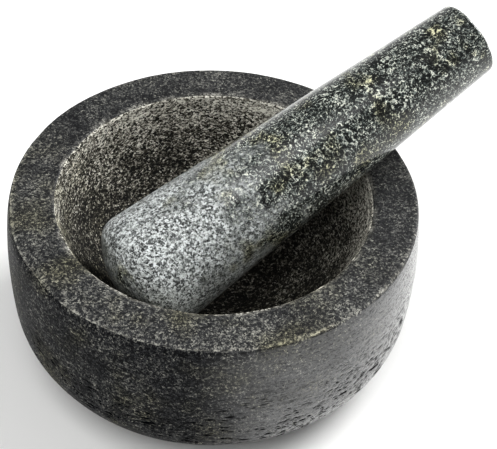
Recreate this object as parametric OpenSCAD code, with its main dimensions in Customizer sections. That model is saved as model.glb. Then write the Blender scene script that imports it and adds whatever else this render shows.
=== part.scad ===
// Granite mortar with its pestle leaning in the hollow.
// +Z is up along the bowl's axis, and the origin is the middle of the base.

/* [Bowl] */
// Diameter at the widest point of the side
bowl_d = 160; // [150:1:175]
// Height from the base to the rim
bowl_h = 70; // [66:1:80]
// Height of the side's widest point above the base
belly_h = 40; // [36:1:46]
// Radius of the side's long curve, seen in section
side_r = 200; // [150:5:300]
// Radius of the curve that tucks the side under to the base, seen in section
tuck_r = 28; // [20:1:32]
// Radius of the rim's outer edge
rim_edge_r = 1; // [0.5:0.1:2]

/* [Hollow] */
// Diameter of the hollow at the rim
mouth_d = 120; // [112:1:124]
// Depth of the hollow below the rim
hollow_depth = 50; // [44:1:52]
// Radius of the mouth's rounded lip
lip_r = 2; // [1:0.1:4]

/* [Pestle] */
// Length from end to end
pestle_l = 170; // [150:1:200]
// Diameter at the working end
working_d = 48; // [40:1:52]
// Diameter at the grip end
grip_d = 30.5; // [24:0.5:36]
// Radius of the working end's edge
working_edge_r = 9; // [4:0.5:12]
// Radius of the grip end's edge
grip_edge_r = 1.5; // [0.5:0.1:4]
// How far the middle of the working end stands out past its edge
working_dome = 5; // [2:0.5:8]
// How far the middle of the grip end stands out past its edge
grip_dome = 2.3; // [1:0.1:4]

/* [Pestle at rest] */
// Slope of the pestle above level, in degrees
lean = 21; // [15:0.5:30]
// Direction that the grip end points in, in degrees from +X towards +Y
heading = 34.5; // [0:0.5:90]
// Tip of the working end, along X from the bowl's axis
tip_x = -33.5; // [-40:0.1:-25]
// Tip of the working end, along Y from the bowl's axis
tip_y = -34.3; // [-40:0.1:-25]
// Tip of the working end, above the base
tip_z = 49.1; // [45:0.1:60]

/* [Hidden] */

// Straight facets in each rounded stretch of an outline
arc_steps = 16;
// Facets round each turned solid
$fn = 96;

// Bowl outline: middles of its arcs, as [radius, height]
side_c = [bowl_d / 2 - side_r, belly_h];
tuck_c = [side_c.x + leg(side_r - tuck_r, belly_h - tuck_r), tuck_r];
edge_c = [side_c.x + leg(side_r - rim_edge_r, bowl_h - rim_edge_r - belly_h), bowl_h - rim_edge_r];
hollow_r = dome_radius(mouth_d / 2, hollow_depth);
hollow_c = [0, bowl_h - hollow_depth + hollow_r];
lip_c = [leg(hollow_r + lip_r, hollow_c.y - (bowl_h - lip_r)), bowl_h - lip_r];

// Pestle outline: middles of its arcs, as [radius, distance from the working end's tip]
working_c = [working_d / 2 - working_edge_r, working_dome + working_edge_r];
grip_c = [grip_d / 2 - grip_edge_r, pestle_l - grip_dome - grip_edge_r];
working_dome_r = tangent_dome(working_c.x, working_dome, working_edge_r);
grip_dome_r = tangent_dome(grip_c.x, grip_dome, grip_edge_r);
working_dome_c = [0, working_dome_r];
grip_dome_c = [0, pestle_l - grip_dome_r];
taper_dir = direction(working_c, grip_c);
taper_normal = taper_dir - acos((working_edge_r - grip_edge_r) / norm(grip_c - working_c));

// The other short side of a right-angled triangle
function leg(long_side, short_side) = sqrt(long_side * long_side - short_side * short_side);

// Radius of a dome of half-width w and height h
function dome_radius(w, h) = (w * w + h * h) / (2 * h);

// Radius of an end dome of height h that runs smoothly into an edge of radius r,
// whose middle is w from the axis
function tangent_dome(w, h, r) = (w * w + (h + r) * (h + r) - r * r) / (2 * h);

// Angle of the line from a to b
function direction(a, b) = atan2(b.y - a.y, b.x - a.x);

// Points along an arc about c, from one angle to another
function arc(c, r, from, to) = [
    for (i = [0:arc_steps])
        let (turn = from + (to - from) * i / arc_steps)
        c + r * [cos(turn), sin(turn)]
];

// Half section of the bowl: up the outside, over the rim, and down into the hollow
function bowl_outline() = concat(
    [[0, 0]],
    arc(tuck_c, tuck_r, -90, direction(side_c, tuck_c)),
    arc(side_c, side_r, direction(side_c, tuck_c), direction(side_c, edge_c)),
    arc(edge_c, rim_edge_r, direction(side_c, edge_c), 90),
    arc(lip_c, lip_r, 90, direction(lip_c, hollow_c)),
    arc(hollow_c, hollow_r, direction(hollow_c, lip_c), -90)
);

// Half section of the pestle, from the working end's tip to the grip end
function pestle_outline() = concat(
    arc(working_dome_c, working_dome_r, -90, direction(working_dome_c, working_c)),
    arc(working_c, working_edge_r, direction(working_dome_c, working_c), taper_normal),
    arc(grip_c, grip_edge_r, taper_normal, direction(grip_dome_c, grip_c)),
    arc(grip_dome_c, grip_dome_r, direction(grip_dome_c, grip_c), 90)
);

// Heavy bowl cut from one block, with a round hollow
module mortar_bowl() {
    color("#454648")
        rotate_extrude()
            polygon(bowl_outline());
}

// Solid tapered club, lying over the rim with its working end in the hollow
module pestle() {
    color("#7f8580")
        translate([tip_x, tip_y, tip_z])
            rotate([0, 90 - lean, heading])
                rotate_extrude()
                    polygon(pestle_outline());
}

mortar_bowl();
pestle();
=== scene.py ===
import math

import bpy
from mathutils import Matrix, Vector


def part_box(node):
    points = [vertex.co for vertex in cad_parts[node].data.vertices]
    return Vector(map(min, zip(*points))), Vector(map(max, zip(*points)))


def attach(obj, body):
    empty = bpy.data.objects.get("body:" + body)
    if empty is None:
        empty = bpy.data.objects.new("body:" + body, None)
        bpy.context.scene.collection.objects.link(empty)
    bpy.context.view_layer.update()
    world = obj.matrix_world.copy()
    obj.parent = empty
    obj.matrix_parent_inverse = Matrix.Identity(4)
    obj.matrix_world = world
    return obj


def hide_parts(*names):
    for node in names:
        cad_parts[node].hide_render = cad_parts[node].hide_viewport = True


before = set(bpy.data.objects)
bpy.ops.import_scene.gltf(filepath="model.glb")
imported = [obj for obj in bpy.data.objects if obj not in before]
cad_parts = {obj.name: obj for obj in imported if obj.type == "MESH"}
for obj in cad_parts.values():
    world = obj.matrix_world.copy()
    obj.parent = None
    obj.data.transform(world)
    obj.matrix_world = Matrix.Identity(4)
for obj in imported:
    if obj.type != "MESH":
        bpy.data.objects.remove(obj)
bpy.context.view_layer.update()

bl_info = {
    "name": "Granite Mortar and Pestle",
    "version": (1, 0, 0),
    "blender": (4, 5, 0),
    "location": "3D View > Sidebar > Mortar",
    "description": "Makes a turned granite mortar and its pestle around the packed design",
    "category": "Add Mesh",
}

MM = 0.001
BOWL_LOW, BOWL_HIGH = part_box("mortar_bowl")
PESTLE_LOW, PESTLE_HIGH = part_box("pestle")

# Facets round each turned piece: fine enough for pits a few tenths of a millimetre deep
BOWL_SEGMENTS = 440
PESTLE_SEGMENTS = 220


def size(name, description, default, **limits):
    """A length that a user can change."""
    return bpy.props.FloatProperty(
        name=name, description=description, default=default, unit="LENGTH", subtype="DISTANCE",
        precision=4, **limits)


def linear(hex_colour):
    """The linear colour that a hex sRGB colour stands for."""
    parts = [int(hex_colour[i:i + 2], 16) / 255 for i in (1, 3, 5)]
    return [p / 12.92 if p <= 0.04045 else ((p + 0.055) / 1.055) ** 2.4 for p in parts] + [1.0]


def colour(name, description, default):
    """A stone colour that a user can change, given as hex sRGB."""
    return bpy.props.FloatVectorProperty(
        name=name, description=description, default=linear(default), size=4, min=0.0, max=1.0,
        subtype="COLOR")


class BowlSizes(bpy.types.PropertyGroup):
    """Sizes of the bowl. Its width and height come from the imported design."""

    belly_h: size("Belly height", "Height of the side's widest point above the base", 40 * MM)
    side_r: size("Side curve", "Radius of the side's long curve, seen in section", 200 * MM)
    tuck_r: size("Tuck", "Radius of the curve that tucks the side under", 28 * MM)
    rim_edge_r: size("Rim edge", "Radius of the rim's outer edge", 1 * MM)
    mouth_d: size("Mouth", "Diameter of the hollow at the rim", 120 * MM)
    hollow_depth: size("Hollow depth", "Depth of the hollow below the rim", 50 * MM)
    lip_r: size("Lip", "Radius of the mouth's rounded lip", 2 * MM)
    waviness: size("Waviness", "How far the hand-finished stone strays from a true turned shape", 0.2 * MM)
    score_drop: size("Scored line", "Depth below the rim of the pale line scored round the mouth", 4.5 * MM)
    tool_marks: size("Tool marks", "Depth of the level marks in the hollow", 0.3 * MM)
    chip_depth: size("Chips", "Depth of the chips along the rim's outer edge", 0.8 * MM)
    pit_depth: size("Pits", "Depth of the pits low on the side", 0.3 * MM)
    edge_wear: size("Edge wear", "Stone rubbed off the rim's outer edge where it is worn most", 1.3 * MM)
    lip_wear: size("Lip wear", "Stone rubbed off the mouth's lip where it is worn most", 0.5 * MM)


class PestleSizes(bpy.types.PropertyGroup):
    """Sizes of the pestle, and how it lies."""

    length: size("Length", "Length from end to end", 170 * MM)
    working_d: size("Working end", "Diameter at the working end", 48 * MM)
    grip_d: size("Grip end", "Diameter at the grip end", 30.5 * MM)
    working_edge_r: size("Working edge", "Radius of the working end's edge", 9 * MM)
    grip_edge_r: size("Grip edge", "Radius of the grip end's edge", 1.5 * MM)
    working_dome: size("Working dome", "How far the working end stands out past its edge", 5 * MM)
    grip_dome: size("Grip dome", "How far the grip end stands out past its edge", 2.3 * MM)
    waviness: size("Waviness", "How far the hand-finished stone strays from a true turned shape", 0.15 * MM)
    chip_depth: size("Chips", "Depth of the chips along both ends' edges", 0.2 * MM)
    lean: bpy.props.FloatProperty(
        name="Lean", description="Slope of the pestle above level", default=math.radians(21),
        subtype="ANGLE")
    heading: bpy.props.FloatProperty(
        name="Heading", description="Direction of the grip end, from +X towards +Y",
        default=math.radians(34.5), subtype="ANGLE")


class StoneColours(bpy.types.PropertyGroup):
    """Colours of the minerals in the two stones."""

    bowl_black: colour("Bowl, black mineral", "Darkest grains of the bowl's stone", "#0c0d0f")
    bowl_dark: colour("Bowl, dark mineral", "Commonest grains of the bowl's stone", "#323335")
    bowl_mid: colour("Bowl, grey mineral", "Grey grains of the bowl's stone", "#5d5d5a")
    bowl_pale: colour("Bowl, pale mineral", "Palest grains of the bowl's stone", "#a09f97")
    pestle_black: colour("Pestle, black mineral", "Darkest grains of the pestle's stone", "#0c100f")
    pestle_dark: colour("Pestle, dark mineral", "Dark green grains of the pestle's stone", "#2c3331")
    pestle_mid: colour("Pestle, grey mineral", "Grey grains of the pestle's stone", "#808884")
    pestle_pale: colour("Pestle, pale mineral", "Palest grains of the pestle's stone", "#e6e8dc")
    olive: colour("Olive stain", "Yellow-brown stain of weathered iron in both stones", "#7f7b58")
    ground: colour("Ground stone", "Stone dust that whitens ground surfaces", "#e0e4e4")
    bruised_black: colour("Bruised, black", "Darkest grains where the bowl was pecked", "#050503")
    bruised_dark: colour("Bruised, dark", "Dark grains where the bowl was pecked", "#37342b")
    bruised_mid: colour("Bruised, grey", "Grey grains where the bowl was pecked", "#939086")
    bruised_pale: colour("Bruised, pale", "Palest grains where the bowl was pecked", "#eae8de")
    dusted_black: colour("Dusted, black", "Darkest grains under the pestle's stone dust", "#101312")
    dusted_dark: colour("Dusted, dark", "Dark grains under the pestle's stone dust", "#6e7271")
    dusted_mid: colour("Dusted, grey", "Grey grains under the pestle's stone dust", "#acb0ae")


class StageSettings(bpy.types.PropertyGroup):
    """The camera, the lights and the floor."""

    elevation: bpy.props.FloatProperty(
        name="Elevation", description="How far the camera looks down", default=math.radians(44.4),
        subtype="ANGLE")
    roll: bpy.props.FloatProperty(
        name="Roll", description="Turn of the camera about its line of sight",
        default=math.radians(2.92), subtype="ANGLE")
    lens: bpy.props.FloatProperty(
        name="Lens", description="Focal length", default=86.9, min=10.0, unit="CAMERA")
    distance: size(
        "Distance", "Distance from the camera to the rim's plane, along its line of sight", 456.6 * MM)
    aim_right: size("Aim right", "How far right of the rim's middle the camera points", 12.9 * MM)
    aim_down: size("Aim down", "How far below the rim's middle the camera points", 11.8 * MM)
    contrast: bpy.props.FloatProperty(
        name="Tone", description="Gamma of the picture; below 1 deepens the dark tones", default=0.85,
        min=0.1)
    floor_reach: size("Floor reach", "Radius of the round floor", 1.4)
    floor_colour: colour("Floor", "Colour of the floor", "#f4f4f3")
    surround: bpy.props.FloatProperty(
        name="Surround", description="Brightness of the white surround at eye level", default=0.9, min=0.0)


def add(tree, kind, inputs=None, stops=None, **settings):
    """Adds one node. Settings are its own properties, inputs are values or sockets by name or number,
    and stops are a colour ramp's positions and colours."""
    node = tree.nodes.new(kind)
    for name, value in settings.items():
        setattr(node, name, value)
    for key, source in (inputs or {}).items():
        if isinstance(source, bpy.types.NodeSocket):
            tree.links.new(source, node.inputs[key])
        else:
            node.inputs[key].default_value = source
    if stops:
        band = node.color_ramp
        while len(band.elements) < len(stops):
            band.elements.new(0.5)
        for element, (position, value) in zip(band.elements, stops):
            element.position = position
            element.color = value
    return node


# Outlines: half sections of the turned pieces, as (radius, height) in metres


def leg(long_side, short_side):
    """The other short side of a right-angled triangle."""
    return math.sqrt(long_side ** 2 - short_side ** 2)


def direction(start, end):
    """Angle of the line from one point to another."""
    return math.atan2(end[1] - start[1], end[0] - start[0])


def arc(centre, radius, start, end, step):
    """Points along an arc, about one step apart."""
    count = max(2, math.ceil(abs(end - start) * radius / step))
    turns = (start + (end - start) * i / count for i in range(count + 1))
    return [(centre[0] + radius * math.cos(t), centre[1] + radius * math.sin(t)) for t in turns]


def straight(start, end, step):
    """Points along a line, about one step apart."""
    count = max(1, math.ceil(math.dist(start, end) / step))
    return [tuple(a + (b - a) * i / count for a, b in zip(start, end)) for i in range(count + 1)]


def joined(stretches):
    """One outline from stretches that meet end to end. Each is its points and its zone's name."""
    points, zones = [], []
    for stretch, zone in stretches:
        fresh = stretch[1:] if points else stretch
        points += fresh
        zones += [zone] * len(fresh)
    return points, zones


def bowl_outline(sizes):
    """Up the outside, over the rim and down into the hollow."""
    height = BOWL_HIGH.z
    widest = (BOWL_HIGH.x - BOWL_LOW.x) / 2
    side_c = (widest - sizes.side_r, sizes.belly_h)
    tuck_c = (side_c[0] + leg(sizes.side_r - sizes.tuck_r, sizes.belly_h - sizes.tuck_r), sizes.tuck_r)
    edge_y = height - sizes.rim_edge_r
    edge_c = (side_c[0] + leg(sizes.side_r - sizes.rim_edge_r, edge_y - sizes.belly_h), edge_y)
    mouth_r = sizes.mouth_d / 2
    hollow_r = (mouth_r ** 2 + sizes.hollow_depth ** 2) / (2 * sizes.hollow_depth)
    hollow_c = (0.0, height - sizes.hollow_depth + hollow_r)
    lip_y = height - sizes.lip_r
    lip_c = (leg(hollow_r + sizes.lip_r, hollow_c[1] - lip_y), lip_y)
    up = math.pi / 2
    tuck_end = direction(side_c, tuck_c)
    side_end = direction(side_c, edge_c)
    return joined([
        (straight((0.0, 0.0), (tuck_c[0], 0.0), 8 * MM), "base"),
        (arc(tuck_c, sizes.tuck_r, -up, tuck_end, 0.75 * MM), "side"),
        (arc(side_c, sizes.side_r, tuck_end, side_end, 0.75 * MM), "side"),
        (arc(edge_c, sizes.rim_edge_r, side_end, up, 0.3 * MM), "edge"),
        (straight((edge_c[0], height), (lip_c[0], height), 1 * MM), "rim"),
        (arc(lip_c, sizes.lip_r, up, direction(lip_c, hollow_c), 0.4 * MM), "lip"),
        (arc(hollow_c, hollow_r, direction(hollow_c, lip_c), -up, 1.2 * MM), "hollow"),
    ])


def end_dome(width, height, edge_r):
    """Radius of a shallow end dome that runs smoothly into the edge's curve."""
    return (width ** 2 + (height + edge_r) ** 2 - edge_r ** 2) / (2 * height)


def pestle_outline(sizes):
    """From the working end's tip to the grip end."""
    work_r, hold_r = sizes.working_edge_r, sizes.grip_edge_r
    work_c = (sizes.working_d / 2 - work_r, sizes.working_dome + work_r)
    hold_c = (sizes.grip_d / 2 - hold_r, sizes.length - sizes.grip_dome - hold_r)
    work_dome_r = end_dome(work_c[0], sizes.working_dome, work_r)
    hold_dome_r = end_dome(hold_c[0], sizes.grip_dome, hold_r)
    work_dome_c = (0.0, work_dome_r)
    hold_dome_c = (0.0, sizes.length - hold_dome_r)
    normal = direction(work_c, hold_c) - math.acos((work_r - hold_r) / math.dist(work_c, hold_c))
    up = math.pi / 2
    work_turn = direction(work_dome_c, work_c)
    hold_turn = direction(hold_dome_c, hold_c)
    side_start = (work_c[0] + work_r * math.cos(normal), work_c[1] + work_r * math.sin(normal))
    side_end = (hold_c[0] + hold_r * math.cos(normal), hold_c[1] + hold_r * math.sin(normal))
    return joined([
        (arc(work_dome_c, work_dome_r, -up, work_turn, 1 * MM), "cap"),
        (arc(work_c, work_r, work_turn, normal, 0.7 * MM), "working_edge"),
        (straight(side_start, side_end, 1 * MM), "side"),
        (arc(hold_c, hold_r, normal, hold_turn, 0.4 * MM), "grip_edge"),
        (arc(hold_dome_c, hold_dome_r, hold_turn, up, 1.5 * MM), "grip_cap"),
    ])


def nearness(points, stretch, reach):
    """How near each point is to a stretch of the outline: 1 on it, falling smoothly to 0 at the reach."""
    gaps = (min(math.dist(point, other) for other in stretch) for point in points)
    return [max(0.0, 1.0 - gap / reach) ** 2 for gap in gaps]


def outline_mesh(name, points, masks):
    """A chain of points in the XZ plane, with each mask stored as an attribute."""
    mesh = bpy.data.meshes.new(name)
    mesh.from_pydata([(r, 0.0, h) for r, h in points], [(i, i + 1) for i in range(len(points) - 1)], [])
    for mask, values in masks.items():
        mesh.attributes.new(mask, "FLOAT", "POINT").data.foreach_set("value", values)
    return mesh


# Geometry Nodes: an outline turned into a solid, then given the relief of worked stone


def spots(tree, place, spacing, width, squash, scatter):
    """Mask of small spots in a 3D pattern, 1 in the middle of each: scattered cells, flattened in height."""
    flat = add(tree, "ShaderNodeVectorMath", {0: place, 1: (1.0, 1.0, squash)}, operation="MULTIPLY")
    cells = add(tree, "ShaderNodeTexVoronoi", {
        "Vector": flat.outputs[0], "Scale": 1 / spacing, "Randomness": 1.0})
    near = add(tree, "ShaderNodeMapRange", {
        "Value": cells.outputs["Distance"], "From Min": 0.35 * width / spacing,
        "From Max": 0.5 * width / spacing, "To Min": 1.0, "To Max": 0.0})
    parts = add(tree, "ShaderNodeSeparateXYZ", {0: cells.outputs["Color"]})
    kept = add(tree, "ShaderNodeMath", {0: parts.outputs[0], 1: scatter}, operation="LESS_THAN")
    return product(tree, near.outputs[0], kept.outputs[0])


def patches(tree, place, across, low, high, seed=0.0, detail=3.0):
    """Mask of soft patches: 0 where a noise is under low, 1 where it is over high."""
    moved = add(tree, "ShaderNodeVectorMath", {0: place, 1: (seed, seed, seed)}, operation="ADD")
    noise = add(tree, "ShaderNodeTexNoise", {
        "Vector": moved.outputs[0], "Scale": 1 / across, "Detail": detail})
    return add(tree, "ShaderNodeMapRange", {
        "Value": noise.outputs[0], "From Min": low, "From Max": high}).outputs[0]


def product(tree, *factors):
    """The product of two or more values."""
    total = factors[0]
    for factor in factors[1:]:
        total = add(tree, "ShaderNodeMath", {0: total, 1: factor}, operation="MULTIPLY").outputs[0]
    return total


def turned_tree(name, masks, lengths, relief):
    """A tree that turns the outline about Z, stores its masks, and cuts the relief into it.
    relief(tree, inputs, place, masks) gives the depth of stone taken off at each point, and more masks."""
    tree = bpy.data.node_groups.new(name, "GeometryNodeTree")
    for socket, kind in (("Outline", "Geometry"), ("Segments", "Int"), ("Stone", "Material")):
        tree.interface.new_socket(name=socket, in_out="INPUT", socket_type="NodeSocket" + kind)
    for length in lengths:
        tree.interface.new_socket(name=length, in_out="INPUT", socket_type="NodeSocketFloat")
    tree.interface.new_socket(name="Solid", in_out="OUTPUT", socket_type="NodeSocketGeometry")
    inputs = add(tree, "NodeGroupInput").outputs

    # A grid with one row of vertices for each outline point, and one column for each step of the turn
    count = add(tree, "GeometryNodeAttributeDomainSize", {0: inputs["Outline"]}, component="MESH")
    columns = add(tree, "ShaderNodeMath", {0: inputs["Segments"], 1: 1.0}, operation="ADD")
    grid = add(tree, "GeometryNodeMeshGrid", {
        "Vertices X": columns.outputs[0], "Vertices Y": count.outputs["Point Count"]})
    index = add(tree, "GeometryNodeInputIndex").outputs[0]
    row = add(tree, "ShaderNodeMath", {0: index, 1: count.outputs["Point Count"]}, operation="MODULO")
    ratio = add(tree, "ShaderNodeMath", {0: index, 1: count.outputs["Point Count"]}, operation="DIVIDE")
    column = add(tree, "ShaderNodeMath", {0: ratio.outputs[0]}, operation="FLOOR")
    lap = add(tree, "ShaderNodeMath", {0: column.outputs[0], 1: inputs["Segments"]}, operation="DIVIDE")
    turn = product(tree, lap.outputs[0], math.tau)

    solid = grid.outputs["Mesh"]
    for mask in masks:
        value = add(tree, "GeometryNodeInputNamedAttribute", {"Name": mask}, data_type="FLOAT")
        picked = add(tree, "GeometryNodeSampleIndex", {
            "Geometry": inputs["Outline"], "Value": value.outputs[0], "Index": row.outputs[0]},
            data_type="FLOAT", domain="POINT")
        solid = add(tree, "GeometryNodeStoreNamedAttribute", {
            "Geometry": solid, "Name": mask, "Value": picked.outputs[0]},
            data_type="FLOAT", domain="POINT").outputs[0]
    chain = add(tree, "GeometryNodeInputPosition").outputs[0]
    point = add(tree, "GeometryNodeSampleIndex", {
        "Geometry": inputs["Outline"], "Value": chain, "Index": row.outputs[0]},
        data_type="FLOAT_VECTOR", domain="POINT")
    place = add(tree, "ShaderNodeVectorRotate", {"Vector": point.outputs[0], "Angle": turn},
        rotation_type="Z_AXIS")
    solid = add(tree, "GeometryNodeSetPosition", {"Geometry": solid, "Position": place.outputs[0]}).outputs[0]
    solid = add(tree, "GeometryNodeMergeByDistance", {"Geometry": solid, "Distance": 0.01 * MM}).outputs[0]

    read = {
        mask: add(tree, "GeometryNodeInputNamedAttribute", {"Name": mask}, data_type="FLOAT").outputs[0]
        for mask in masks}
    here = add(tree, "GeometryNodeInputPosition").outputs[0]
    depth, made = relief(tree, inputs, here, read)
    for mask, value in made.items():
        solid = add(tree, "GeometryNodeStoreNamedAttribute", {
            "Geometry": solid, "Name": mask, "Value": value},
            data_type="FLOAT", domain="POINT").outputs[0]
    out = add(tree, "GeometryNodeInputNormal").outputs[0]
    inward = product(tree, depth, -1.0)
    move = add(tree, "ShaderNodeVectorMath", {0: out, "Scale": inward}, operation="SCALE")
    solid = add(tree, "GeometryNodeSetPosition", {"Geometry": solid, "Offset": move.outputs[0]}).outputs[0]
    solid = add(tree, "GeometryNodeSetShadeSmooth", {"Geometry": solid}).outputs[0]
    solid = add(tree, "GeometryNodeRealizeInstances", {"Geometry": solid}).outputs[0]
    solid = add(tree, "GeometryNodeSetMaterial", {"Geometry": solid, "Material": inputs["Stone"]}).outputs[0]
    add(tree, "NodeGroupOutput", {0: solid})
    return tree


def summed(tree, *terms):
    """The sum of two or more values."""
    total = terms[0]
    for term in terms[1:]:
        total = add(tree, "ShaderNodeMath", {0: total, 1: term}, operation="ADD").outputs[0]
    return total


def side_pits(tree, place):
    """Mask of the pits that the side's polishing left open, low on the side, in loose groups."""
    small = spots(tree, place, spacing=3 * MM, width=2.1 * MM, squash=3.2, scatter=0.75)
    large = spots(tree, place, spacing=7 * MM, width=4.4 * MM, squash=4.5, scatter=0.5)
    groups = patches(tree, place, 22 * MM, 0.41, 0.49, seed=3.1)
    height = add(tree, "ShaderNodeSeparateXYZ", {0: place}).outputs["Z"]
    low = add(tree, "ShaderNodeMapRange", {
        "Value": height, "From Min": 36 * MM, "From Max": 56 * MM, "To Min": 1.0, "To Max": 0.0}).outputs[0]
    both = add(tree, "ShaderNodeMath", {0: small, 1: large}, operation="MAXIMUM").outputs[0]
    return product(tree, both, groups, low)


def bowl_relief(tree, inputs, place, masks):
    """Waviness all over, level tool marks in the hollow, a worn lip, a worn and chipped outer edge that is
    worst at the front, and pits low on the side."""
    wave = patches(tree, place, 35 * MM, 0.3, 0.7, detail=0.5)
    level = add(tree, "ShaderNodeVectorMath", {0: place, 1: (1.0, 1.0, 6.0)}, operation="MULTIPLY").outputs[0]
    marks = patches(tree, level, 14 * MM, 0.35, 0.7, seed=1.7)
    away = add(tree, "ShaderNodeVectorMath", {0: place, 1: (0.4, 0.9, 0.0)}, operation="DOT_PRODUCT")
    front = add(tree, "ShaderNodeMapRange", {
        "Value": away.outputs["Value"], "From Min": -62 * MM, "From Max": 10 * MM, "To Min": 1.0,
        "To Max": 0.05}).outputs[0]
    chips = product(tree, patches(tree, place, 4 * MM, 0.5, 0.62, seed=5.3), masks["edge"], front)
    broad = patches(tree, place, 45 * MM, 0.4, 0.6, seed=8.6, detail=1.0)
    worn = product(tree, broad, masks["near_edge"], front, front)
    rubbed = product(tree, patches(tree, place, 7 * MM, 0.4, 0.68, seed=2.9), masks["near_lip"])
    pits = product(tree, side_pits(tree, place), masks["side"])
    depth = summed(
        tree,
        product(tree, wave, inputs["Waviness"]),
        product(tree, marks, masks["hollow"], inputs["Tool marks"]),
        product(tree, chips, inputs["Chips"]),
        product(tree, worn, inputs["Edge wear"]),
        product(tree, rubbed, inputs["Lip wear"]),
        product(tree, pits, inputs["Pits"]))
    # A pale line along the top of the rim's outer edge, worst at the front: partly worn stone, partly a
    # painted highlight where the edge turns over onto the rim
    bare = product(tree, patches(tree, place, 3 * MM, 0.4, 0.6, seed=4.1), masks["edge_line"], front)
    return depth, {"chipped": chips, "rubbed": rubbed, "bare": bare, "front": front}


def pestle_relief(tree, inputs, place, masks):
    """Waviness all over and chips along both ends' edges."""
    wave = patches(tree, place, 30 * MM, 0.3, 0.7, seed=2.2, detail=0.5)
    chips = product(tree, patches(tree, place, 4 * MM, 0.52, 0.7, seed=4.4), masks["edge"])
    depth = summed(tree, product(tree, wave, inputs["Waviness"]), product(tree, chips, inputs["Chips"]))
    return depth, {"chipped": chips}


def turned_piece(name, outline, tree, segments, stone, lengths):
    """Runs the tree on the outline and returns the result as a plain mesh object."""
    maker = bpy.data.objects.new(name + "_outline", outline)
    bpy.context.scene.collection.objects.link(maker)
    modifier = maker.modifiers.new("Turned", "NODES")
    modifier.node_group = tree
    values = {"Segments": segments, "Stone": stone, **lengths}
    for item in tree.interface.items_tree:
        if item.in_out == "INPUT" and item.name in values:
            modifier[item.identifier] = values[item.name]
    shaped = maker.evaluated_get(bpy.context.evaluated_depsgraph_get())
    mesh = bpy.data.meshes.new_from_object(shaped)
    mesh.name = name
    mesh.materials.pop(index=0)
    piece = bpy.data.objects.new(name, mesh)
    bpy.context.scene.collection.objects.link(piece)
    bpy.data.objects.remove(maker)
    return piece


# Materials


def new_material(name):
    """An empty material with its shader and output, ready for its pattern."""
    material = bpy.data.materials.new(name)
    material.use_nodes = True
    tree = material.node_tree
    tree.nodes.clear()
    shader = add(tree, "ShaderNodeBsdfPrincipled")
    add(tree, "ShaderNodeOutputMaterial", {"Surface": shader.outputs[0]})
    return material, tree, shader


def grains(tree, place, grain, sharpness=0.5, crystals=0.2):
    """Tone of the mineral grains, from 0 for the darkest to 1 for the palest: bent cells, each with its own
    tone, blurred into each other by a finer noise, with thin curling crystals of a paler mineral between."""
    bend = add(tree, "ShaderNodeTexNoise", {"Vector": place, "Scale": 0.7 / grain, "Detail": 2.0})
    centred = add(tree, "ShaderNodeVectorMath", {0: bend.outputs["Color"], 1: (0.5, 0.5, 0.5)},
        operation="SUBTRACT")
    shift = add(tree, "ShaderNodeVectorMath", {0: centred.outputs[0], "Scale": 2.4 * grain},
        operation="SCALE")
    bent = add(tree, "ShaderNodeVectorMath", {0: place, 1: shift.outputs[0]}, operation="ADD").outputs[0]
    cells = add(tree, "ShaderNodeTexVoronoi", {"Vector": bent, "Scale": 1 / grain, "Randomness": 1.0})
    own = add(tree, "ShaderNodeSeparateXYZ", {0: cells.outputs["Color"]}).outputs[0]
    fine = add(tree, "ShaderNodeTexNoise", {
        "Vector": place, "Scale": 0.9 / grain, "Detail": 4.0, "Roughness": 0.65, "Distortion": 1.0})
    spread = add(tree, "ShaderNodeMapRange", {
        "Value": fine.outputs[0], "From Min": 0.3, "From Max": 0.7}).outputs[0]
    tone = add(tree, "ShaderNodeMix", {"Factor": sharpness, 2: spread, 3: own}, data_type="FLOAT").outputs[0]
    curl = add(tree, "ShaderNodeTexNoise", {"Vector": bent, "Scale": 0.4 / grain, "Detail": 1.0}).outputs[0]
    off = add(tree, "ShaderNodeMath", {0: curl, 1: 0.5}, operation="SUBTRACT").outputs[0]
    away = add(tree, "ShaderNodeMath", {0: off}, operation="ABSOLUTE").outputs[0]
    crystal = add(tree, "ShaderNodeMapRange", {
        "Value": away, "From Min": 0.008, "From Max": 0.03, "To Min": crystals, "To Max": 0.0}).outputs[0]
    return summed(tree, tone, crystal)


def tinted(tree, base, tint, amount):
    """A colour mixed towards another by a mask, both kept at the first one's brightness."""
    return add(tree, "ShaderNodeMix", {"Factor": amount, 6: base, 7: tint}, data_type="RGBA",
        blend_type="COLOR").outputs[2]


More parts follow.
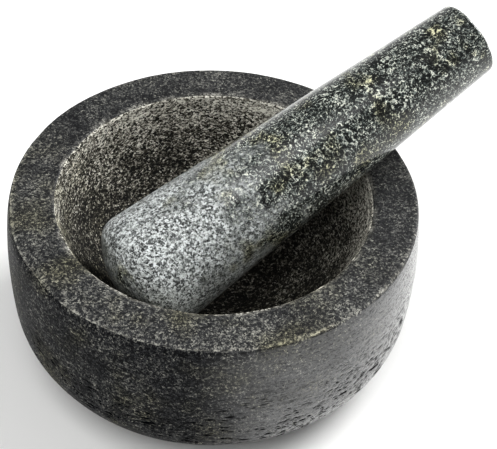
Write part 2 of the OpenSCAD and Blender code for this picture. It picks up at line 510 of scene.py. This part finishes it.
def dark_granite(colours):
    """Dark fine-grained granite. The side is polished, which leaves a sheen that whitens at grazing angles.
    The rim is only honed; the hollow is pecked and ground, which bruises the grains paler and dulls them."""
    material, tree, shader = new_material("honed dark granite")
    place = add(tree, "ShaderNodeTexCoord").outputs["Object"]
    mask = {
        name: add(tree, "ShaderNodeAttribute", attribute_name=name).outputs["Fac"]
        for name in ("hollow", "deep", "scored", "side", "chipped", "rubbed", "bare", "front")}

    tone = grains(tree, place, 0.7 * MM)
    cloud = add(tree, "ShaderNodeTexNoise", {
        "Vector": place, "Scale": 1 / (16 * MM), "Detail": 3.0}).outputs[0]
    cloudy = add(tree, "ShaderNodeMath", {0: cloud, 1: 0.4, 2: -0.2}, operation="MULTIPLY_ADD").outputs[0]
    flat = add(tree, "ShaderNodeVectorMath", {0: place, 1: (1.0, 1.0, 7.0)}, operation="MULTIPLY").outputs[0]
    streaks = add(tree, "ShaderNodeTexNoise", {
        "Vector": flat, "Scale": 1 / (11 * MM), "Detail": 3.0}).outputs[0]
    streaky = add(tree, "ShaderNodeMath", {0: streaks, 1: 0.35, 2: -0.29},
        operation="MULTIPLY_ADD").outputs[0]
    rim_tone = add(tree, "ShaderNodeMapRange", {
        "Value": mask["front"], "To Min": -0.07, "To Max": 0.02}).outputs[0]
    shade = add(tree, "ShaderNodeMix", {"Factor": mask["side"], 2: rim_tone, 3: streaky},
        data_type="FLOAT").outputs[0]
    # The pale line along the rim's outer edge is lifted here: partly wear, partly a painted highlight
    tone = summed(tree, tone, cloudy, shade, product(tree, mask["bare"], 0.5))
    minerals = add(tree, "ShaderNodeValToRGB", {"Fac": tone}, stops=[
        (0.28, colours.bowl_black), (0.54, colours.bowl_dark), (0.70, colours.bowl_mid),
        (0.94, colours.bowl_pale)])

    # Bruised stone: paler, warmer and with stronger contrast, with painted shade that leaves it paler near
    # the lip and darker again towards the bottom
    level = add(tree, "ShaderNodeVectorMath", {0: place, 1: (1.0, 1.0, 1.8)}, operation="MULTIPLY").outputs[0]
    coarse = grains(tree, level, 0.85 * MM, sharpness=0.6)
    painted_hollow_shade = add(tree, "ShaderNodeMapRange", {"Value": mask["deep"], "To Min": 0.1, "To Max": -0.22}).outputs[0]
    scored = product(tree, patches(tree, place, 12 * MM, 0.42, 0.6, seed=1.2), mask["scored"], 0.3)
    # Painted light and shade: the hollow is paler towards the back right and darker towards the front left
    back = add(tree, "ShaderNodeVectorMath", {0: place, 1: (0.6, 0.8, 0.0)}, operation="DOT_PRODUCT")
    painted_back_light = add(tree, "ShaderNodeMapRange", {
        "Value": back.outputs["Value"], "From Min": -45 * MM, "From Max": 45 * MM, "To Min": -0.08,
        "To Max": 0.06}).outputs[0]
    bruised_tone = summed(tree, coarse, cloudy, painted_hollow_shade, scored, painted_back_light)
    bruised = add(tree, "ShaderNodeValToRGB", {"Fac": bruised_tone}, stops=[
        (0.24, colours.bruised_black), (0.43, colours.bruised_dark), (0.61, colours.bruised_mid),
        (0.82, colours.bruised_pale)])
    broken = add(tree, "ShaderNodeMath", {0: mask["hollow"], 1: mask["chipped"]},
        operation="MAXIMUM").outputs[0]
    rubbed = product(tree, mask["rubbed"], 0.45)
    broken = add(tree, "ShaderNodeMath", {0: broken, 1: rubbed}, operation="MAXIMUM").outputs[0]
    stone = add(tree, "ShaderNodeMix", {"Factor": broken, 6: minerals.outputs[0], 7: bruised.outputs[0]},
        data_type="RGBA").outputs[2]
    stain = product(tree, patches(tree, place, 18 * MM, 0.45, 0.68, seed=7.7), mask["front"], 0.55)
    stone = tinted(tree, stone, colours.olive, stain)
    # The pits are painted in the blackest mineral colour: painted shade inside them
    pits = product(tree, side_pits(tree, place), mask["side"])
    painted_pit_shade = add(tree, "ShaderNodeMix", {"Factor": pits, 6: stone, 7: colours.bowl_black},
        data_type="RGBA").outputs[2]
    tree.links.new(painted_pit_shade, shader.inputs["Base Color"])

    # The right of the side took a higher polish than the rest, broken by fine open pores and level streaks
    right = add(tree, "ShaderNodeVectorMath", {0: place, 1: (0.85, -0.5, 0.0)}, operation="DOT_PRODUCT")
    uneven = add(tree, "ShaderNodeMapRange", {
        "Value": right.outputs["Value"], "From Min": 35 * MM, "From Max": 64 * MM, "To Min": 0.04,
        "To Max": 1.0},
        interpolation_type="SMOOTHSTEP")
    pricks = patches(tree, level, 1.1 * MM, 0.5, 0.62, seed=4.4)
    swept = patches(tree, flat, 10 * MM, 0.4, 0.62, seed=6.2)
    dulled = add(tree, "ShaderNodeMath", {0: pricks, 1: 0.42, 2: product(tree, swept, 0.22)},
        operation="MULTIPLY_ADD").outputs[0]
    kept = add(tree, "ShaderNodeMath", {0: 1.0, 1: dulled}, operation="SUBTRACT", use_clamp=True).outputs[0]
    whole = add(tree, "ShaderNodeMath", {0: mask["side"], 1: pits}, operation="SUBTRACT",
        use_clamp=True).outputs[0]
    polish = product(tree, whole, uneven.outputs[0], kept)
    honed = add(tree, "ShaderNodeMapRange", {"Value": polish, "To Min": 0.5, "To Max": 0.2}).outputs[0]
    roughness = add(tree, "ShaderNodeMix", {"Factor": broken, 2: honed, 3: 0.8}, data_type="FLOAT").outputs[0]
    tree.links.new(roughness, shader.inputs["Roughness"])
    tree.links.new(polish, shader.inputs["Coat Weight"])
    shader.inputs["Coat Roughness"].default_value = 0.2
    open_shine = add(tree, "ShaderNodeMapRange", {"Value": whole, "To Min": 0.25, "To Max": 0.04}).outputs[0]
    open_shine = summed(tree, open_shine, product(tree, polish, 0.55))
    shine = add(tree, "ShaderNodeMix", {"Factor": pits, 2: open_shine, 3: 0.0}, data_type="FLOAT").outputs[0]
    tree.links.new(shine, shader.inputs["Specular IOR Level"])
    height = add(tree, "ShaderNodeMath", {0: tone, 1: product(tree, pits, -3.0)}, operation="ADD").outputs[0]
    rough = add(tree, "ShaderNodeMath", {0: broken, 1: pits}, operation="MAXIMUM").outputs[0]
    strength = add(tree, "ShaderNodeMapRange", {"Value": rough, "To Min": 0.08, "To Max": 0.7}).outputs[0]
    bump = add(tree, "ShaderNodeBump", {"Height": height, "Strength": strength, "Distance": 0.25 * MM})
    tree.links.new(bump.outputs[0], shader.inputs["Normal"])
    shader.inputs["IOR"].default_value = 1.54
    return material


def green_granite(colours):
    """Coarser green-grey granite. The grip is polished to a soft shine; the working end is ground by use,
    which covers it with pale stone dust and dulls it."""
    material, tree, shader = new_material("polished green granite")
    place = add(tree, "ShaderNodeTexCoord").outputs["Object"]
    ground = add(tree, "ShaderNodeAttribute", attribute_name="ground").outputs["Fac"]
    chipped = add(tree, "ShaderNodeAttribute", attribute_name="chipped").outputs["Fac"]

    tone = grains(tree, place, 0.65 * MM, sharpness=0.5, crystals=0.4)
    cloud = add(tree, "ShaderNodeTexNoise", {
        "Vector": place, "Scale": 1 / (9 * MM), "Detail": 3.0}).outputs[0]
    cloudy = add(tree, "ShaderNodeMath", {0: cloud, 1: 0.35, 2: -0.18}, operation="MULTIPLY_ADD").outputs[0]
    # Leaf-shaped feldspar crystals lie in clusters, with blacker stone between them
    leaves = patches(tree, place, 2.1 * MM, 0.47, 0.56, seed=2.2, detail=1.5)
    clusters = patches(tree, place, 14 * MM, 0.49, 0.60, seed=5.8)
    leafy = add(tree, "ShaderNodeMath", {0: leaves, 1: 0.36, 2: -0.15}, operation="MULTIPLY_ADD").outputs[0]
    leafy = product(tree, leafy, clusters)
    minerals = add(tree, "ShaderNodeValToRGB", {"Fac": summed(tree, tone, cloudy, leafy, -0.055)}, stops=[
        (0.38, colours.pestle_black), (0.55, colours.pestle_dark), (0.72, colours.pestle_mid),
        (0.90, colours.pestle_pale)])
    specks = grains(tree, place, 0.7 * MM, sharpness=0.6)
    dusted = add(tree, "ShaderNodeValToRGB", {"Fac": specks}, stops=[
        (0.22, colours.dusted_black), (0.42, colours.dusted_dark), (0.58, colours.dusted_mid),
        (0.80, colours.ground)])
    edge = patches(tree, place, 9 * MM, 0.35, 0.65, seed=6.0)
    feather = add(tree, "ShaderNodeMath", {0: edge, 1: 0.5, 2: -0.25}, operation="MULTIPLY_ADD").outputs[0]
    worn = add(tree, "ShaderNodeMapRange", {
        "Value": summed(tree, ground, feather), "From Min": 0.25, "From Max": 0.75}).outputs[0]
    worn = add(tree, "ShaderNodeMath", {0: worn, 1: chipped}, operation="MAXIMUM").outputs[0]
    stone = add(tree, "ShaderNodeMix", {"Factor": worn, 6: minerals.outputs[0], 7: dusted.outputs[0]},
        data_type="RGBA").outputs[2]
    unworn = add(tree, "ShaderNodeMath", {0: 1.0, 1: worn}, operation="SUBTRACT").outputs[0]
    stain = product(tree, patches(tree, place, 11 * MM, 0.52, 0.66, seed=9.1), unworn, 0.5)
    tree.links.new(tinted(tree, stone, colours.olive, stain), shader.inputs["Base Color"])
    tree.links.new(add(tree, "ShaderNodeMapRange", {
        "Value": worn, "To Min": 0.22, "To Max": 0.5}).outputs[0], shader.inputs["Roughness"])
    tree.links.new(product(tree, unworn, 0.4), shader.inputs["Coat Weight"])
    shader.inputs["Coat Roughness"].default_value = 0.12
    strength = add(tree, "ShaderNodeMapRange", {"Value": worn, "To Min": 0.06, "To Max": 0.45}).outputs[0]
    bump = add(tree, "ShaderNodeBump", {"Height": tone, "Strength": strength, "Distance": 0.25 * MM})
    tree.links.new(bump.outputs[0], shader.inputs["Normal"])
    shader.inputs["IOR"].default_value = 1.54
    return material


# Operators


class MORTAR_OT_bowl(bpy.types.Operator):
    """Make the bowl in the place of its design solid"""

    bl_idname = "mortar.bowl"
    bl_label = "Make the bowl"

    def execute(self, context):
        sizes = context.scene.bowl_sizes
        points, zones = bowl_outline(sizes)
        edge = [p for p, z in zip(points, zones) if z == "edge"]
        lip = [p for p, z in zip(points, zones) if z == "lip"]
        zones = ["hollow" if p in lip[len(lip) // 2:] else z for p, z in zip(points, zones)]
        rim_h = BOWL_HIGH.z
        masks = {
            "side": [float(z in ("side", "base")) for z in zones],
            "edge": [float(z == "edge") for z in zones],
            "near_edge": nearness(points, edge, 4 * MM),
            "edge_line": nearness(points, edge[-2:], 2 * MM),
            "near_lip": nearness(points, lip[:len(lip) // 2], 1.2 * MM),
            "hollow": [float(z == "hollow") for z in zones],
            "scored": [max(0.0, 1.0 - abs(rim_h - h - sizes.score_drop) / (1.2 * MM)) * float(z == "hollow")
                for (_, h), z in zip(points, zones)],
            "deep": [
                min(1.0, (rim_h - h) / (0.45 * sizes.hollow_depth)) if z == "hollow" else 0.0
                for (_, h), z in zip(points, zones)],
        }
        lengths = {
            "Waviness": sizes.waviness, "Tool marks": sizes.tool_marks, "Chips": sizes.chip_depth,
            "Edge wear": sizes.edge_wear, "Lip wear": sizes.lip_wear, "Pits": sizes.pit_depth}
        tree = turned_tree("Turned bowl", masks, lengths, bowl_relief)
        outline = outline_mesh("bowl_outline", points, masks)
        stone = dark_granite(context.scene.stone_colours)
        piece = turned_piece("granite_bowl", outline, tree, BOWL_SEGMENTS, stone, lengths)
        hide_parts("mortar_bowl")
        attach(piece, "bowl")
        return {"FINISHED"}


class MORTAR_OT_pestle(bpy.types.Operator):
    """Make the pestle in the place of its design solid"""

    bl_idname = "mortar.pestle"
    bl_label = "Make the pestle"

    def execute(self, context):
        sizes = context.scene.pestle_sizes
        points, zones = pestle_outline(sizes)
        masks = {
            "edge": [{"working_edge": 1.0, "grip_edge": 0.4}.get(z, 0.0) for z in zones],
            # Stone dust, heaviest at the working end and fading along the pestle, with a little on the grip
            # end's dome. The working end's dome gets less than its edge: painted shade on the end face, which
            # faces down into the bowl
            "ground": [
                {"cap": 0.55, "grip_cap": 0.4}.get(z, max(0.0, min(1.0, 1.3 - 2.7 * h / sizes.length)))
                for (_, h), z in zip(points, zones)],
        }
        lengths = {"Waviness": sizes.waviness, "Chips": sizes.chip_depth}
        tree = turned_tree("Turned pestle", masks, lengths, pestle_relief)
        outline = outline_mesh("pestle_outline", points, masks)
        stone = green_granite(context.scene.stone_colours)
        piece = turned_piece("granite_pestle", outline, tree, PESTLE_SEGMENTS, stone, lengths)
        lean = Matrix.Rotation(math.pi / 2 - sizes.lean, 4, "Y")
        piece.data.transform(Matrix.Rotation(sizes.heading, 4, "Z") @ lean)
        corners = [Vector(f(v.co[i] for v in piece.data.vertices) for i in range(3)) for f in (min, max)]
        middle = (corners[0] + corners[1]) / 2
        piece.data.transform(Matrix.Translation((PESTLE_LOW + PESTLE_HIGH) / 2 - middle))
        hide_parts("pestle")
        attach(piece, "pestle")
        return {"FINISHED"}


class MORTAR_OT_stage(bpy.types.Operator):
    """Make the floor, the lights and the camera"""

    bl_idname = "mortar.stage"
    bl_label = "Make the stage"

    def execute(self, context):
        settings = context.scene.stage_settings
        self.floor(settings)
        self.lights(settings)
        self.camera(context.scene, settings)
        return {"FINISHED"}

    def floor(self, settings):
        """A round matt floor under the bowl, no wider than the lights reach."""
        material, _, shader = new_material("matt paper floor")
        shader.inputs["Base Color"].default_value = settings.floor_colour
        shader.inputs["Roughness"].default_value = 0.9
        mesh = bpy.data.meshes.new("floor")
        count = 96
        turns = [2 * math.pi * i / count for i in range(count)]
        ring = [(settings.floor_reach * math.cos(t), settings.floor_reach * math.sin(t), 0.0) for t in turns]
        mesh.from_pydata(ring, [], [range(count)])
        mesh.materials.append(material)
        floor = bpy.data.objects.new("floor", mesh)
        bpy.context.scene.collection.objects.link(floor)

    def lights(self, settings):
        """A white surround that dims above eye level, a broad soft light from the back right, and a weaker,
        broader one from above the front left."""
        world = bpy.data.worlds.new("white surround")
        world.use_nodes = True
        tree = world.node_tree
        look = add(tree, "ShaderNodeTexCoord").outputs["Generated"]
        height = add(tree, "ShaderNodeSeparateXYZ", {0: look}).outputs["Z"]
        bright = add(tree, "ShaderNodeMapRange", {
            "Value": height, "From Min": 0.1, "From Max": 0.45, "To Min": settings.surround,
            "To Max": 0.3 * settings.surround})
        background = tree.nodes["Background"]
        background.inputs["Color"].default_value = (1.0, 1.0, 1.0, 1.0)
        tree.links.new(bright.outputs[0], background.inputs["Strength"])
        bpy.context.scene.world = world
        for name, place, across, power in (
                ("soft light at the back right", (1.44, 1.12, 1.32), 1.3, 64.0),
                ("weak light above the front left", (-0.60, -0.80, 2.04), 2.0, 37.0)):
            data = bpy.data.lights.new(name, "AREA")
            data.size = across
            data.energy = power
            light = bpy.data.objects.new(name, data)
            light.location = place
            light.rotation_euler = (Vector((0, 0, 0.03)) - Vector(place)).to_track_quat("-Z", "Y").to_euler()
            bpy.context.scene.collection.objects.link(light)

    def camera(self, scene, settings):
        """A camera that looks down on the bowl, turned a little about its line of sight."""
        down, roll = settings.elevation, settings.roll
        ahead = Vector((0.0, math.cos(down), -math.sin(down)))
        level = Vector((1.0, 0.0, 0.0))
        above = Vector((0.0, math.sin(down), math.cos(down)))
        right = math.cos(roll) * level + math.sin(roll) * above
        up = math.cos(roll) * above - math.sin(roll) * level
        rim = Vector((0.0, 0.0, BOWL_HIGH.z))
        data = bpy.data.cameras.new("camera")
        data.lens = settings.lens
        data.clip_end = 50.0
        camera = bpy.data.objects.new("camera", data)
        place = rim + settings.aim_right * right - settings.aim_down * up - settings.distance * ahead
        turn = Matrix((right, up, -ahead)).transposed().to_4x4()
        camera.matrix_world = Matrix.Translation(place) @ turn
        scene.collection.objects.link(camera)
        scene.camera = camera
        scene.view_settings.view_transform = "Standard"
        scene.view_settings.gamma = settings.contrast


class MORTAR_PT_panel(bpy.types.Panel):
    """Lists the pieces and the stage"""

    bl_idname = "MORTAR_PT_panel"
    bl_label = "Granite Mortar"
    bl_space_type = "VIEW_3D"
    bl_region_type = "UI"
    bl_category = "Mortar"

    def draw(self, context):
        for operator in OPERATORS:
            self.layout.operator(operator.bl_idname)
        for group in SETTINGS:
            box = self.layout.box()
            box.label(text=group.replace("_", " ").capitalize())
            for name in SETTINGS[group].__annotations__:
                box.prop(getattr(context.scene, group), name)


SETTINGS = {
    "bowl_sizes": BowlSizes,
    "pestle_sizes": PestleSizes,
    "stone_colours": StoneColours,
    "stage_settings": StageSettings,
}
OPERATORS = (MORTAR_OT_bowl, MORTAR_OT_pestle, MORTAR_OT_stage)


def register():
    for group, kind in SETTINGS.items():
        bpy.utils.register_class(kind)
        setattr(bpy.types.Scene, group, bpy.props.PointerProperty(type=kind))
    for kind in (*OPERATORS, MORTAR_PT_panel):
        bpy.utils.register_class(kind)


def unregister():
    for kind in (MORTAR_PT_panel, *reversed(OPERATORS)):
        bpy.utils.unregister_class(kind)
    for group, kind in reversed(SETTINGS.items()):
        delattr(bpy.types.Scene, group)
        bpy.utils.unregister_class(kind)


def main():
    register()
    bpy.ops.mortar.bowl()
    bpy.ops.mortar.pestle()
    bpy.ops.mortar.stage()


if __name__ == "__main__":
    main()
